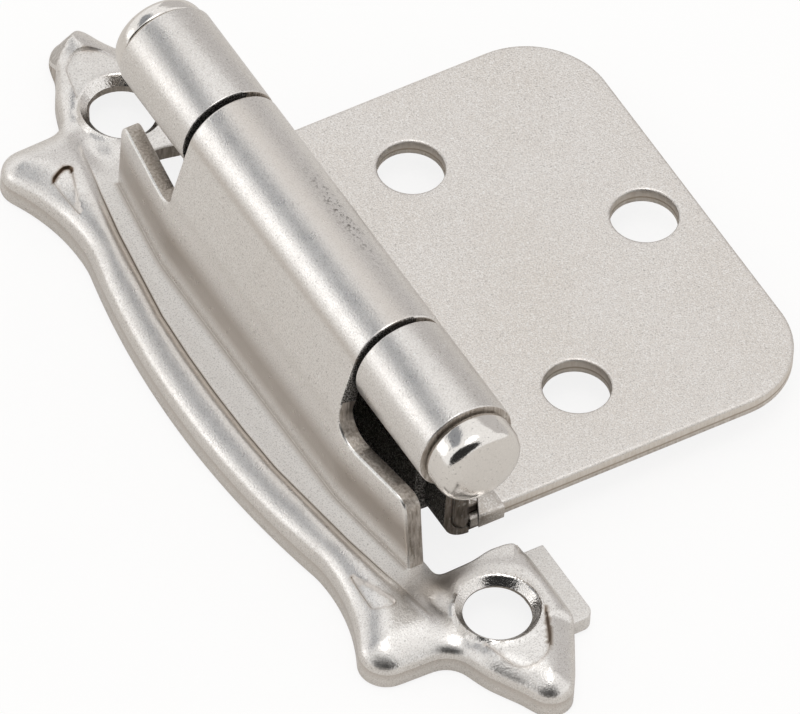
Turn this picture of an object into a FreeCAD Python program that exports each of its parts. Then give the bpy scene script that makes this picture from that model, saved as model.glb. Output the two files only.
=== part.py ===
import FreeCAD, Part
import math
import os
import re

import Sketcher

# Self-closing cabinet hinge: a decorative frame leaf, a door wing, the pin they
# turn on and the spring plate that shuts the wing. Millimetres.
# +X runs from the leaf to the wing's outer edge, +Y along the pin, +Z up off the
# frame face. The origin lies midway between the leaf's screws, halfway up the
# walls of their holes. Heights are drawn from the frame face, and the bodies are
# set down by the height of the origin at the end.

SIZES = [
    # sheet metal and pin
    ("sheet_t", 1.32), ("pin_r", 2.35), ("run_gap", 0.05),
    ("axis_x", -0.2), ("axis_z", 14.85),
    # knuckles along the pin, measured from the middle
    ("mid_half", 11.6), ("knuckle_gap", 0.43), ("knuckle_end", 20.95),
    ("seam", 0.3),
    # decorative leaf, half outline
    ("leaf_depth", 3.0), ("bow_r", 74.0),
    ("waist_x", -8.45), ("waist_y", 16.0), ("waist_r", 14.5),
    ("lobe_x", -10.1), ("lobe_y", 24.4), ("lobe_r", 2.0),
    ("lobe_end_x", -8.1), ("lobe_end_y", 27.1),
    ("neck_x", -4.3), ("neck_y", 27.2),
    ("tip_left_x", -1.05), ("tip_left_y", 34.0),
    ("tip_right_x", 1.75), ("tip_right_y", 34.25), ("tip_r", 1.75),
    ("shoulder_x", 3.9), ("shoulder_y", 29.9),
    ("step_x", 4.55), ("boss_in", 21.5), ("boss_out", 29.4),
    ("flange_x", 6.55), ("flange_out", 28.8), ("flange_r", 0.9),
    ("leaf_hole_y", 26.3), ("leaf_hole_r", 2.5), ("sink", 0.75),
    # riser wall of the leaf and the plate that leans up to the knuckle
    ("wall_x", -4.95), ("wall_end", 20.4), ("wall_end_x", -3.7),
    ("wall_top", 9.2), ("wall_round", 1.0), ("crease_z", 11.0),
    ("plate_round", 1.3),
    # raised bead along the outer side
    ("bead_h", 0.6), ("bead_inset", 1.25), ("bead_in_r", 100.0),
    ("bead_end_x", -4.5),
    # door wing
    ("wing_low", 2.2), ("wing_out_x", 31.3), ("wing_half", 18.45),
    ("corner_r", 6.2), ("riser_x", 0.9), ("bend_r", 0.15),
    ("hole_near_x", 15.0), ("hole_far_x", 27.3), ("hole_half", 11.55),
    ("wing_hole_r", 2.43), ("relief", 0.7),
    # spring plate
    ("spring_t", 0.6), ("lay_gap", 0.05), ("spring_half", 10.8),
    ("foot_x", 9.5), ("foot_half", 16.0), ("lip_r", 0.5), ("lip_x", -1.65),
    ("brace_half", 18.3), ("brace_top", 10.5),
    ("hem_half", 15.6), ("hem_low", 2.5), ("hem_top", 9.0), ("hem_t", 0.85),
    ("ear_x", 2.42), ("ear_w", 2.2), ("ear_lap", 1.15), ("ear_out", 0.8),
    ("ear_rise", 0.75), ("ear_round", 0.25), ("ear_slant", 1.1),
    # pin heads
    ("head_gap", 0.08), ("head_r", 3.5), ("head_rim", 0.5), ("head_dome", 2.4),
    ("tail_rim", 0.3), ("tail_dome", 1.8),
]

doc = FreeCAD.newDocument("hinge")
sheet = doc.addObject("Spreadsheet::Sheet", "Sizes")
for row, (name, size) in enumerate(SIZES, start=1):
    sheet.set("A%d" % row, name)
    sheet.set("B%d" % row, str(size))
    sheet.setAlias("B%d" % row, name)
doc.recompute()
SCRATCH = "D1"
KNOWN = {}


def size(expression):
    """Value of an expression in the sheet's names."""
    if expression not in KNOWN:
        sheet.set(SCRATCH, "=" + expression)
        sheet.recompute()
        KNOWN[expression] = float(sheet.get(SCRATCH))
    return KNOWN[expression]


def bound(expression):
    """The same expression, written for an object outside the sheet."""
    return re.sub(r"\b(?!sqrt\b)[a-z][a-z_]*\b", r"Sizes.\g<0>", expression)


def tie(obj, prop, expression):
    obj.setExpression(prop, bound(expression))


def body(name):
    made = doc.addObject("PartDesign::Body", name)
    made.Label = name
    return made


def sketch(owner, name, plane, offset=None):
    made = owner.newObject("Sketcher::SketchObject", name)
    base = [f for f in owner.Origin.OriginFeatures if f.Role == plane][0]
    made.AttachmentSupport = (base, [""])
    made.MapMode = "FlatFace"
    if offset:
        tie(made, "AttachmentOffset.Base.z", offset)
    return made


def place(sk, geo, pos, x, y):
    """Holds one point of a sketch at the sheet expressions x, y."""
    for kind, axis, text in (("DistanceX", -2, x), ("DistanceY", -1, y)):
        value = size(text)
        if abs(value) < 1e-9:
            sk.addConstraint(Sketcher.Constraint("PointOnObject", geo, pos, axis))
        else:
            k = sk.addConstraint(Sketcher.Constraint(kind, -1, 1, geo, pos, value))
            tie(sk, "Constraints[%d]" % k, text)


def arc_between(a, b, radius, left):
    """Arc from a to b; its centre is on the left of the way there, or the right.
    A sketch keeps its arcs counter-clockwise, so one to the right runs b to a."""
    chord = b - a
    half = chord.Length / 2
    rise = math.sqrt(max(radius * radius - half * half, 0))
    aside = FreeCAD.Vector(-chord.y, chord.x, 0) * (rise / chord.Length)
    centre = (a + b) * 0.5 + (aside if left else -aside)
    first, last = (a, b) if left else (b, a)
    angles = [math.atan2(p.y - centre.y, p.x - centre.x) for p in (first, last)]
    if angles[1] < angles[0]:
        angles[1] += 2 * math.pi
    ring = Part.Circle(centre, FreeCAD.Vector(0, 0, 1), radius)
    return Part.ArcOfCircle(ring, angles[0], angles[1])


def outline(sk, path):
    """Closed loop. Each step is (x, y), reached by a line, or
    (x, y, radius, left), reached by an arc with its centre on that side."""
    points = [FreeCAD.Vector(size(s[0]), size(s[1]), 0) for s in path]
    ends = []
    for i, step in enumerate(path):
        a, b = points[i - 1], points[i]
        if len(step) == 2:
            geo = sk.addGeometry(Part.LineSegment(a, b), False)
            ends.append((geo, 1, 2))
        else:
            arc = arc_between(a, b, size(step[2]), step[3])
            geo = sk.addGeometry(arc, False)
            ends.append((geo, 1, 2) if step[3] else (geo, 2, 1))
    for i, (geo, start, end) in enumerate(ends):
        before, _, stop = ends[i - 1]
        sk.addConstraint(Sketcher.Constraint("Coincident", before, stop, geo, start))
        place(sk, geo, end, path[i][0], path[i][1])
        if len(path[i]) == 4:
            k = sk.addConstraint(
                Sketcher.Constraint("Radius", geo, size(path[i][2])))
            tie(sk, "Constraints[%d]" % k, path[i][2])


def both_sides(half, bow=()):
    """A half outline and its mirror image across y = 0. The two far ends meet
    in a line, or in an arc of the radius and side that bow gives."""
    back = []
    way = tuple(bow)
    for step in reversed(half):
        back.append((step[0], "-(%s)" % step[1]) + way)
        way = step[2:]
    return half + back


def circle(sk, x, y, radius):
    geo = sk.addGeometry(Part.Circle(
        FreeCAD.Vector(size(x), size(y), 0), FreeCAD.Vector(0, 0, 1),
        size(radius)), False)
    place(sk, geo, 3, x, y)
    k = sk.addConstraint(Sketcher.Constraint("Radius", geo, size(radius)))
    tie(sk, "Constraints[%d]" % k, radius)


def pad(owner, sk, name, length, both=False):
    made = owner.newObject("PartDesign::Pad", name)
    made.Profile = sk
    tie(made, "Length", length)
    made.SideType = "Symmetric" if both else "One side"
    doc.recompute()
    return made


def pocket(owner, sk, name, length, both=False, upward=False):
    made = owner.newObject("PartDesign::Pocket", name)
    made.Profile = sk
    tie(made, "Length", length)
    made.SideType = "Symmetric" if both else "One side"
    made.Reversed = upward
    before = owner.Shape.Volume
    doc.recompute()
    if not owner.Shape.Volume < before - 1e-6:
        raise RuntimeError(name + " removed nothing")
    return made


def edges_where(shape, test):
    return ["Edge%d" % (i + 1) for i, e in enumerate(shape.Edges) if test(e)]


def dress(owner, kind, name, prop, amount, test):
    names = edges_where(owner.Shape, test)
    if not names:
        raise RuntimeError(name + " found no edges")
    base = owner.Tip
    made = owner.newObject("PartDesign::" + kind, name)
    made.Base = (base, names)
    tie(made, prop, amount)
    doc.recompute()
    return made


def span(edge):
    box = edge.BoundBox
    return box.XLength, box.YLength, box.ZLength


bore_r = "(pin_r + run_gap)"
out_r = "(pin_r + run_gap + sheet_t)"
leaf_under = "leaf_depth - sheet_t"
wing_top = "wing_low + sheet_t"
wall_in = "wall_x + sheet_t"
wall_end_in = "wall_end_x + sheet_t"

# The plate leans from the crease at the wall's top to a tangent on the knuckle.
over = "(axis_x - wall_x)"
rise = "(axis_z - crease_z)"
apart = "(%s * %s + %s * %s)" % (over, over, rise, rise)
reach = "sqrt(%s - %s * %s)" % (apart, out_r, out_r)
lean_x = "((%s * %s - %s * %s) / %s)" % (over, reach, rise, out_r, apart)
lean_z = "((%s * %s + %s * %s) / %s)" % (rise, reach, over, out_r, apart)
touch_x = "axis_x - %s * " + lean_z
touch_z = "axis_z + %s * " + lean_x

# Frame leaf: one stamped sheet. The plate, then its joggled flanges, the wall
# folded up along its inner edge and the knuckle rolled at the top of the wall.
leaf = body("frame_leaf")
plan = sketch(leaf, "LeafPlan", "XY_Plane")
outline(plan, both_sides([
    (wall_in, "mid_half"),
    (wall_end_in, "wall_end"),
    (wall_end_in, "boss_in"),
    ("step_x", "boss_in"),
    ("step_x", "boss_out"),
    ("shoulder_x", "shoulder_y"),
    ("tip_right_x", "tip_right_y"),
    ("tip_left_x", "tip_left_y", "tip_r", True),
    ("neck_x", "neck_y"),
    ("lobe_end_x", "lobe_end_y"),
    ("lobe_x", "lobe_y", "lobe_r", True),
    ("waist_x", "waist_y", "waist_r", False),
], ("bow_r", True)))
pad(leaf, plan, "LeafPlate", "leaf_depth")

leaf_z = size("leaf_depth")

# The plate's edge is turned down all round, except where the wall stands.
hollow = sketch(leaf, "HollowPlan", "XY_Plane")
outline(hollow, both_sides([
    (wall_in + " + sheet_t", "mid_half"),
    (wall_end_in + " + sheet_t", "boss_in - sheet_t"),
    ("step_x - sheet_t", "boss_in - sheet_t"),
    ("step_x - sheet_t", "boss_out - sheet_t"),
    ("(tip_left_x + tip_right_x) / 2", "tip_right_y - sheet_t"),
    ("neck_x + sheet_t", "neck_y"),
    ("neck_x", "neck_y - sheet_t"),
    ("lobe_end_x", "lobe_end_y - sheet_t"),
    ("lobe_x + sheet_t", "lobe_y"),
    ("waist_x + sheet_t", "waist_y"),
], ("bow_r - sheet_t", True)))
pocket(leaf, hollow, "Hollow", leaf_under, upward=True)

flange = sketch(leaf, "FlangePlan", "XY_Plane")
for sign in ("", "-"):
    outline(flange, [
        ("step_x - sheet_t", sign + "boss_in"),
        ("flange_x", sign + "boss_in"),
        ("flange_x", sign + "(flange_out - flange_r)"),
        ("flange_x - flange_r", sign + "flange_out", "flange_r", sign == ""),
        ("step_x - sheet_t", sign + "flange_out"),
    ])
pad(leaf, flange, "Flanges", "sheet_t")

holes = sketch(leaf, "LeafHoles", "XY_Plane")
circle(holes, "0", "leaf_hole_y", "leaf_hole_r")
circle(holes, "0", "-leaf_hole_y", "leaf_hole_r")
pocket(leaf, holes, "ScrewHoles", "leaf_depth + 1", upward=True)
dress(leaf, "Chamfer", "Countersinks", "Size", "sink", lambda e: (
    e.Curve.TypeId == "Part::GeomCircle" and len(e.Vertexes) == 1
    and abs(e.Vertexes[0].Z - leaf_z) < 1e-4))

wall = sketch(leaf, "WallPlan", "XY_Plane", leaf_under)
outline(wall, both_sides([
    (wall_in, "mid_half"),
    (wall_end_in, "wall_end"),
    ("wall_end_x", "wall_end"),
    ("wall_x", "mid_half"),
]))
pad(leaf, wall, "Wall", "wall_top - (%s)" % leaf_under)

plate = sketch(leaf, "PlateSide", "XZ_Plane")
inner_crease = "%s - (%s - wall_x - sheet_t) * %s / %s" % (
    touch_z % bore_r, touch_x % bore_r, lean_z, lean_x)
outline(plate, [
    ("wall_x", leaf_under),
    (wall_in, leaf_under),
    (wall_in, inner_crease),
    (touch_x % bore_r, touch_z % bore_r),
    (touch_x % out_r, touch_z % out_r),
    ("wall_x", "crease_z"),
])
pad(leaf, plate, "Plate", "2 * mid_half", both=True)

ring = sketch(leaf, "MiddleRing", "XZ_Plane")
circle(ring, "axis_x", "axis_z", out_r)
circle(ring, "axis_x", "axis_z", bore_r)
pad(leaf, ring, "MiddleKnuckle", "2 * mid_half", both=True)

slit = sketch(leaf, "MiddleSeam", "XZ_Plane")
slit_z = "axis_z - 0.6 * " + out_r
outline(slit, [
    ("axis_x - 1.1 * " + out_r, slit_z),
    ("axis_x - 1.1 * " + out_r, slit_z + " - seam"),
    ("axis_x - 0.5 * pin_r", slit_z + " - seam"),
    ("axis_x - 0.5 * pin_r", slit_z),
])
pocket(leaf, slit, "Seam", "3 * mid_half", both=True)

wall_z = size("wall_top")
mid = size("mid_half")
end = size("wall_end")
dress(leaf, "Fillet", "PlateCorners", "Radius", "plate_round", lambda e: (
    all(abs(v.Z - wall_z) < 1e-4 and abs(abs(v.Y) - mid) < 1e-4
        for v in e.Vertexes) and span(e)[0] > 1))
dress(leaf, "Fillet", "WallCorners", "Radius", "wall_round", lambda e: (
    all(abs(v.Z - wall_z) < 1e-4 and abs(abs(v.Y) - end) < 1e-4
        for v in e.Vertexes)))

bead = sketch(leaf, "BeadPlan", "XY_Plane", "leaf_depth - 0.1")
outline(bead, both_sides([
    ("bead_end_x", "lobe_y", "bead_in_r", False),
    ("lobe_x + bead_inset", "lobe_y"),
    ("waist_x + bead_inset", "waist_y", "waist_r + bead_inset", False),
], ("bow_r - bead_inset", True)))
pad(leaf, bead, "Bead", "bead_h + 0.1")

# Door wing: flat plate, bent up into a riser and rolled into two outer knuckles.
wing = body("door_wing")
side = sketch(wing, "WingSide", "XZ_Plane")
bend_x = "riser_x + sheet_t + bend_r"
bend_z = "%s + bend_r" % wing_top
riser_top = "axis_z - pin_r - run_gap - 0.2 * sheet_t"
outline(side, [
    ("wing_out_x", "wing_low"),
    ("wing_out_x", wing_top),
    (bend_x, wing_top),
    ("riser_x + sheet_t", bend_z, "bend_r", False),
    ("riser_x + sheet_t", riser_top),
    ("riser_x", riser_top),
    ("riser_x", bend_z),
    (bend_x, "wing_low", "bend_r + sheet_t", True),
])
pad(wing, side, "WingPlate", "2 * wing_half", both=True)

rings = sketch(wing, "OuterRings", "XZ_Plane")
circle(rings, "axis_x", "axis_z", out_r)
pad(wing, rings, "OuterKnuckles", "2 * knuckle_end", both=True)

bores = sketch(wing, "OuterBore", "XZ_Plane")
circle(bores, "axis_x", "axis_z", bore_r)
pocket(wing, bores, "Bore", "3 * knuckle_end", both=True)

gap = sketch(wing, "ReliefSide", "XZ_Plane")
far = "(%s + relief)" % out_r
outline(gap, [
    ("axis_x - " + far, "axis_z - " + far),
    ("axis_x + " + far, "axis_z - " + far),
    ("axis_x + " + far, "axis_z + " + far),
    ("axis_x - " + far, "axis_z + " + far),
])
pocket(wing, gap, "Relief", "2 * (mid_half + knuckle_gap)", both=True)

split = sketch(wing, "OuterSeam", "XZ_Plane")
outline(split, [
    ("riser_x + sheet_t", "axis_z - 0.5 * " + out_r),
    ("riser_x + sheet_t", "axis_z - 0.5 * %s - seam" % out_r),
    ("axis_x + 1.1 * " + out_r, "axis_z - 0.5 * %s - seam" % out_r),
    ("axis_x + 1.1 * " + out_r, "axis_z - 0.5 * " + out_r),
])
pocket(wing, split, "Seams", "3 * knuckle_end", both=True)

drill = sketch(wing, "WingHoles", "XY_Plane")
circle(drill, "hole_near_x", "hole_half", "wing_hole_r")
circle(drill, "hole_near_x", "-hole_half", "wing_hole_r")
circle(drill, "hole_far_x", "0", "wing_hole_r")
pocket(wing, drill, "ScrewHoles", wing_top + " + 1", upward=True)

# A notch in each side, through which an ear of the spring plate comes up.
tab_out = "(wing_half - lay_gap)"
tab_in = "(wing_half - lay_gap - spring_t)"
slot = sketch(wing, "EarNotches", "XY_Plane")
for sign in ("", "-"):
    outline(slot, [
        ("ear_x - lay_gap", sign + "(wing_half - 2 * lay_gap - spring_t)"),
        ("ear_x + ear_w + lay_gap", sign + "(wing_half - 2 * lay_gap - spring_t)"),
        ("ear_x + ear_w + lay_gap", sign + "(wing_half + 1)"),
        ("ear_x - lay_gap", sign + "(wing_half + 1)"),
    ])
pocket(wing, slot, "Notches", wing_top + " + 1", upward=True)

wing_edge = size("wing_out_x")
dress(wing, "Fillet", "Corners", "Radius", "corner_r", lambda e: (
    abs(span(e)[2] - size("sheet_t")) < 1e-4 and span(e)[0] < 1e-4
    and abs(e.Vertexes[0].X - wing_edge) < 1e-4))

# Spring plate: a foot clinched under the wing, an arm up the riser and a lip
# that bears on the middle knuckle.
spring = body("closing_spring")
arm_out = "riser_x - lay_gap - spring_t"
arm_in = "riser_x - lay_gap"
foot_top = "wing_low - lay_gap"
foot_low = "wing_low - lay_gap - spring_t"
lip_top = "axis_z - %s - 2 * lay_gap" % out_r
lip_low = lip_top + " - spring_t"
form = sketch(spring, "SpringSide", "XZ_Plane")
outline(form, [
    ("foot_x", foot_low),
    ("foot_x", foot_top),
    (bend_x, foot_top),
    (arm_in, bend_z, "bend_r + sheet_t + lay_gap", False),
    (arm_in, lip_low + " - lip_r"),
    (arm_out + " - lip_r", lip_top, "lip_r + spring_t", True),
    ("lip_x", lip_top),
    ("lip_x", lip_low),
    (arm_out + " - lip_r", lip_low),
    (arm_out, lip_low + " - lip_r", "lip_r", False),
    (arm_out, bend_z),
    (bend_x, foot_low, "bend_r + sheet_t + lay_gap + spring_t", True),
])
pad(spring, form, "Arm", "2 * spring_half", both=True)

# Below the barrel the arm is as wide as the wing's riser.
brace = sketch(spring, "BraceSide", "XZ_Plane")
outline(brace, [
    (bend_x, foot_low, "bend_r + sheet_t + lay_gap + spring_t", True),
    (bend_x, foot_top),
    (arm_in, bend_z, "bend_r + sheet_t + lay_gap", False),
    (arm_in, "brace_top"),
    (arm_out, "brace_top"),
    (arm_out, bend_z),
])
pad(spring, brace, "Brace", "2 * brace_half", both=True)

# Along its middle the arm's lower end is folded back on itself.
hem = sketch(spring, "HemSide", "XZ_Plane")
hem_in = arm_out + " + 0.75 * spring_t"
outline(hem, [
    (hem_in, "hem_low"),
    (hem_in, "hem_top"),
    (arm_out + " - hem_t", "hem_top"),
    (arm_out + " - hem_t", "hem_low + hem_t"),
    (arm_out, "hem_low", "hem_t", True),
])
pad(spring, hem, "Hem", "2 * hem_half", both=True)

foot = sketch(spring, "FootPlan", "XY_Plane", foot_low)
outline(foot, both_sides([
    ("foot_x", "spring_half"),
    ("ear_x + ear_w", "foot_half"),
    (bend_x, "foot_half"),
]))
pad(spring, foot, "Foot", "spring_t")

# Each ear comes up through its notch, and its end is clinched over the wing.
hook = sketch(spring, "EarSide", "YZ_Plane", "ear_x")
ear_low = "wing_low + ear_rise"
lap_low = wing_top + " + lay_gap"
lap_top = lap_low + " + spring_t"
for sign in ("", "-"):
    outline(hook, [
        (sign + "(foot_half - 1)", foot_low),
        (sign + tab_in, foot_low),
        (sign + tab_out, foot_top, "spring_t", sign == ""),
        (sign + tab_out, ear_low),
        (sign + "(wing_half + ear_out)", ear_low),
        (sign + "(wing_half + ear_out)", lap_top + " - ear_round"),
        (sign + "(wing_half + ear_out - ear_round)", lap_top, "ear_round",
         sign == ""),
        (sign + "(wing_half - ear_lap)", lap_top),
        (sign + "(wing_half - ear_lap)", lap_low),
        (sign + tab_in, lap_low),
        (sign + tab_in, foot_top),
        (sign + "(foot_half - 1)", foot_top),
    ])
pad(spring, hook, "Ears", "ear_w")

taper = sketch(spring, "EarTaper", "XY_Plane", ear_low)
for sign in ("", "-"):
    outline(taper, [
        ("ear_x - 0.2", sign + "(wing_half + ear_out + 0.2)"),
        ("ear_x", sign + "(wing_half + ear_out + 0.2)"),
        ("ear_x + ear_slant", sign + "(wing_half - ear_lap)"),
        ("ear_x + ear_slant", sign + "(wing_half - ear_lap - 0.2)"),
        ("ear_x - 0.2", sign + "(wing_half - ear_lap - 0.2)"),
    ])
pocket(spring, taper, "EarTapers", "3 * spring_t", upward=True)

# Pin with a domed head at one end and the other end headed over.
pin = body("hinge_pin")
tie(pin, "Placement.Base.x", "axis_x")
turned = sketch(pin, "PinProfile", "XY_Plane")
seat = "(knuckle_end + head_gap)"
head_ball = "(head_r * head_r + head_dome * head_dome) / (2 * head_dome)"
tail_ball = "(head_r * head_r + tail_dome * tail_dome) / (2 * tail_dome)"
outline(turned, [
    ("0", "-(%s + head_rim + head_dome)" % seat),
    ("head_r", "-(%s + head_rim)" % seat, head_ball, True),
    ("head_r", "-" + seat),
    ("pin_r", "-" + seat),
    ("pin_r", seat),
    ("head_r", seat),
    ("head_r", seat + " + tail_rim"),
    ("0", seat + " + tail_rim + tail_dome", tail_ball, True),
])
solid = pin.newObject("PartDesign::Revolution", "Turned")
solid.Profile = turned
solid.ReferenceAxis = (turned, ["V_Axis"])
doc.recompute()

origin_z = "(leaf_depth - (sheet_t + sink) / 2)"
for node, height in ((leaf, "0"), (wing, "0"), (spring, "0"), (pin, "axis_z")):
    tie(node, "Placement.Base.z", "%s - %s" % (height, origin_z))

os.makedirs("parts", exist_ok=True)
sheet.clear(SCRATCH)
doc.recompute()
for obj in doc.Objects:
    if "Invalid" in obj.State or "Error" in obj.State:
        raise RuntimeError("%s did not compute" % obj.Label)
for node in (leaf, wing, spring, pin):
    shape = node.Shape
    if shape.isNull() or not shape.isValid() or len(shape.Solids) != 1:
        raise RuntimeError("%s is not one sound solid" % node.Label)
    box = shape.BoundBox
    print("%s: %.0f mm3, x %.2f..%.2f y %.2f..%.2f z %.2f..%.2f" % (
        node.Label, shape.Volume, box.XMin, box.XMax, box.YMin, box.YMax,
        box.ZMin, box.ZMax))
    shape.exportStep("parts/%s.step" % node.Label)
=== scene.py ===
# %% [markdown]
# # A self-closing overlay hinge
# The hinge is four pieces of plated steel: a stamped decorative leaf that is folded
# up into a wall and rolled into the middle knuckle, a flat wing for the door, a
# pin with a domed head, and the spring plate that pulls the door shut. The packed
# model gives every place and size, so loading it comes first.

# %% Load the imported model
import math

import bpy
import numpy as np
from mathutils import Matrix, Vector, geometry


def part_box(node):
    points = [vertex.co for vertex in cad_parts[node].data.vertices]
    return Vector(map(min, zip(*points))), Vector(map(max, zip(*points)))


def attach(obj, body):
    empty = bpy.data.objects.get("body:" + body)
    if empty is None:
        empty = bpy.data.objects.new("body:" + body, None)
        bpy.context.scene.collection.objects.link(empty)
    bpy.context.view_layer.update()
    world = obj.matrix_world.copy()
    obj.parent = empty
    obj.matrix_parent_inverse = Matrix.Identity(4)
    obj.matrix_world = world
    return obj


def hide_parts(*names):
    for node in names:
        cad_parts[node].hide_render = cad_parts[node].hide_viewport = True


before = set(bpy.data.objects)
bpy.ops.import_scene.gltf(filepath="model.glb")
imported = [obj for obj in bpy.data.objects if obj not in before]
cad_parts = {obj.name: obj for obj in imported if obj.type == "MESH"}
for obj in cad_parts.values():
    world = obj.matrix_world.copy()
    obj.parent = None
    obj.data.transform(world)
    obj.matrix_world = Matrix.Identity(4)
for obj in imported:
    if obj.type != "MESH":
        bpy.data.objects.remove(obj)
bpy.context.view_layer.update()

MM = 0.001
FACE_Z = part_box("frame_leaf")[0].z      # the cabinet frame's face, under the leaf

# %% [markdown]
# ## Sizes that the pieces share
# These are the part's own sizes in millimetres. x runs out over the wing, y along
# the pin, and h is the height above the cabinet frame's face. Writing them once
# keeps the leaf, the knuckles and the pin in step with each other.

# %% Shared sizes
SHEET = 1.32                    # thickness of the sheet steel
AXIS_X, AXIS_H = -0.2, 14.85    # the pin's centre line
BORE_R = 2.4                    # inside of the knuckles
OUT_R = BORE_R + SHEET          # outside of the knuckles
MID_HALF = 11.6                 # half length of the middle knuckle
OUTER_IN, OUTER_END = 12.03, 20.95      # the ends of an outer knuckle
WALL_X, WALL_TOP = -4.95, 9.2   # the wall's outer face, and the top of its ends


def smoothstep(low, high, value):
    """0 below low, 1 above high, and a smooth rise between them."""
    t = np.clip((value - low) / (high - low), 0, 1)
    return t * t * (3 - 2 * t)


def bell(value, width):
    """1 where the value is 0, falling off smoothly over the width."""
    return np.exp(-(value / width) ** 2)


# %% [markdown]
# ## Helpers for outlines
# A stamped piece starts as a flat blank with an outline. An outline here is a list
# of corners joined by lines or arcs, turned into many short steps. Passing a
# smoothing over the steps gives the soft corners that a press tool leaves.

# %% Outlines made of short steps
def arc_steps(a, b, radius, left, step):
    """Points from a to b, without a, on an arc with its centre on that side."""
    a, b = np.array(a, float), np.array(b, float)
    chord = b - a
    length = np.hypot(*chord)
    rise = math.sqrt(max(radius ** 2 - length ** 2 / 4, 0))
    aside = np.array([-chord[1], chord[0]]) * rise / length
    centre = (a + b) / 2 + (aside if left else -aside)
    start, stop = (math.atan2(*(p - centre)[::-1]) for p in (a, b))
    if left and stop < start:
        stop += 2 * math.pi
    if not left and stop > start:
        stop -= 2 * math.pi
    count = max(2, round(abs(stop - start) * radius / step))
    turn = np.linspace(start, stop, count + 1)[1:]
    return centre + radius * np.column_stack([np.cos(turn), np.sin(turn)])


def line_steps(a, b, step):
    """Points from a to b, without a, on a straight line."""
    a, b = np.array(a, float), np.array(b, float)
    count = max(1, round(np.hypot(*(b - a)) / step))
    return a + (b - a) * np.linspace(0, 1, count + 1)[1:, None]


def loop_steps(path, step):
    """Closed outline. Each entry is (x, y), or (x, y, radius, left) for an arc."""
    rows = []
    for before, entry in zip([path[-1]] + path, path):
        steps = line_steps if len(entry) == 2 else arc_steps
        rows.append(steps(before[:2], entry[:2], *entry[2:], step))
    return np.vstack(rows)


def mirrored(half, bow=()):
    """The half outline and its mirror image across y = 0. bow is the radius and
    side of an arc that joins the two halves' last and first points."""
    back, way = [], tuple(bow)
    for entry in reversed(half):
        back.append((entry[0], -entry[1]) + way)
        way = tuple(entry[2:])
    return list(half) + back


def softened(loop, passes, keep=None):
    """Rounds a closed outline's corners, except where keep is true. It also evens
    out numbers that belong to the steps of an outline."""
    for _ in range(passes):
        eased = (np.roll(loop, 1, 0) + 2 * loop + np.roll(loop, -1, 0)) / 4
        loop = eased if keep is None else np.where(keep[:, None], loop, eased)
    return loop


def circle_steps(x, y, radius, count):
    turn = np.linspace(0, 2 * math.pi, count, endpoint=False)
    return np.column_stack([x + radius * np.cos(turn), y + radius * np.sin(turn)])


def inward_normals(loop):
    """Unit directions across a closed outline, pointing into it."""
    run = np.roll(loop, -1, 0) - np.roll(loop, 1, 0)
    normal = np.column_stack([-run[:, 1], run[:, 0]])
    normal /= np.maximum(np.hypot(*normal.T), 1e-9)[:, None]
    area = (loop[:, 0] * np.roll(loop[:, 1], -1)
            - loop[:, 1] * np.roll(loop[:, 0], -1)).sum()
    return -normal if area < 0 else normal


# %% [markdown]
# ## Helpers for a blank
# A blank has to be a fine, even mesh before it can be pressed or bent. Blender's
# constrained Delaunay fill joins the outline, the holes and any crease lines with
# small even triangles. Rows of points follow the edges closely, because a pressed
# edge curves over within a millimetre.

# %% Distances and the fill
CHUNK = 2000                    # points that are measured at a time
ROW_PITCH = 0.866               # rows of even triangles lie that much closer


def line_gaps(points, a, b):
    """Distance from each point to the nearest of the lines that run from a to b,
    and which line that is."""
    run = b - a
    size = np.maximum((run ** 2).sum(1), 1e-12)
    far, which = np.empty(len(points)), np.empty(len(points), int)
    for i in range(0, len(points), CHUNK):
        p = points[i:i + CHUNK, None, :]
        t = np.clip(((p - a) * run).sum(2) / size, 0, 1)
        gap = np.hypot(*np.moveaxis(a + run * t[..., None] - p, 2, 0))
        which[i:i + CHUNK] = gap.argmin(1)
        far[i:i + CHUNK] = gap.min(1)
    return far, which


def nearest(points, loop):
    """Distance from each point to a closed outline, and the step it is nearest to."""
    return line_gaps(points, loop, np.roll(loop, -1, 0))


def inside(points, loop):
    x, y = points[:, 0], points[:, 1]
    hit = np.zeros(len(points), bool)
    for (ax, ay), (bx, by) in zip(loop, np.roll(loop, -1, 0)):
        if ay != by:
            hit ^= ((ay > y) != (by > y)) & (x < (bx - ax) * (y - ay) / (by - ay) + ax)
    return hit


def on_metal(points, outer, holes):
    """Which points lie inside the outline and in none of the holes."""
    ok = inside(points, outer)
    for hole in holes:
        ok &= ~inside(points, hole)
    return ok


def even_grid(low, high, spacing):
    """Points in staggered rows over a box."""
    rows = []
    for i, y in enumerate(np.arange(low[1], high[1], spacing * ROW_PITCH)):
        x = np.arange(low[0] + spacing / 2 * (i % 2), high[0], spacing)
        rows.append(np.column_stack([x, np.full(len(x), y)]))
    return np.vstack(rows)


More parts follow.
